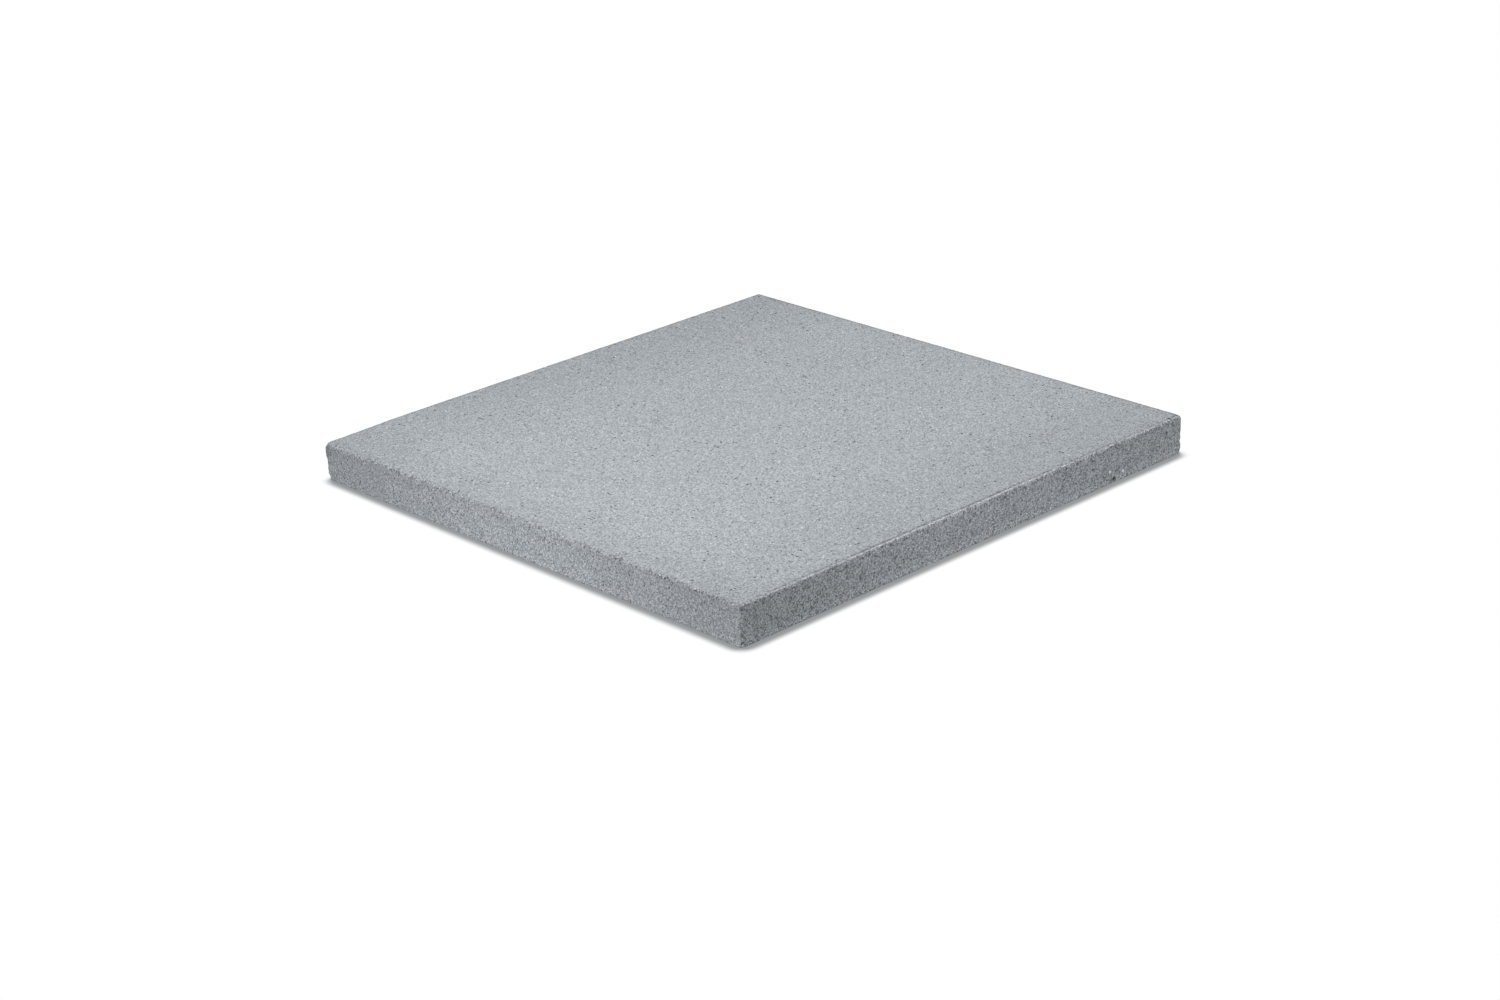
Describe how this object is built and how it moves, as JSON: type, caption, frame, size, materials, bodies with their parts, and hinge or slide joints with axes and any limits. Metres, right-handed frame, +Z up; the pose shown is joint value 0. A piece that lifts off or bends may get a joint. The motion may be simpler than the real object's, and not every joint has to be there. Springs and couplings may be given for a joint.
{
  "type": "concrete paving slab",
  "caption": "Square flat slab of plain grey concrete with a fine sandy face, rubbed top edges and rough cast sides, laid on a bed to pave a path, terrace or roof.",
  "frame": {"origin": "middle of the bed face, the flat underside", "axes": "+Z up out of the walking face, +X and +Y along the sides; the picture looks at the corner at -X -Y"},
  "size_m": [0.6, 0.6, 0.04],
  "materials": {
    "concrete": "matt cool-grey cast concrete, fine sand grain on the face, open pores on the sides"
  },
  "bodies": {
    "root": {"paving_slab": "concrete"}
  },
  "joints": []
}
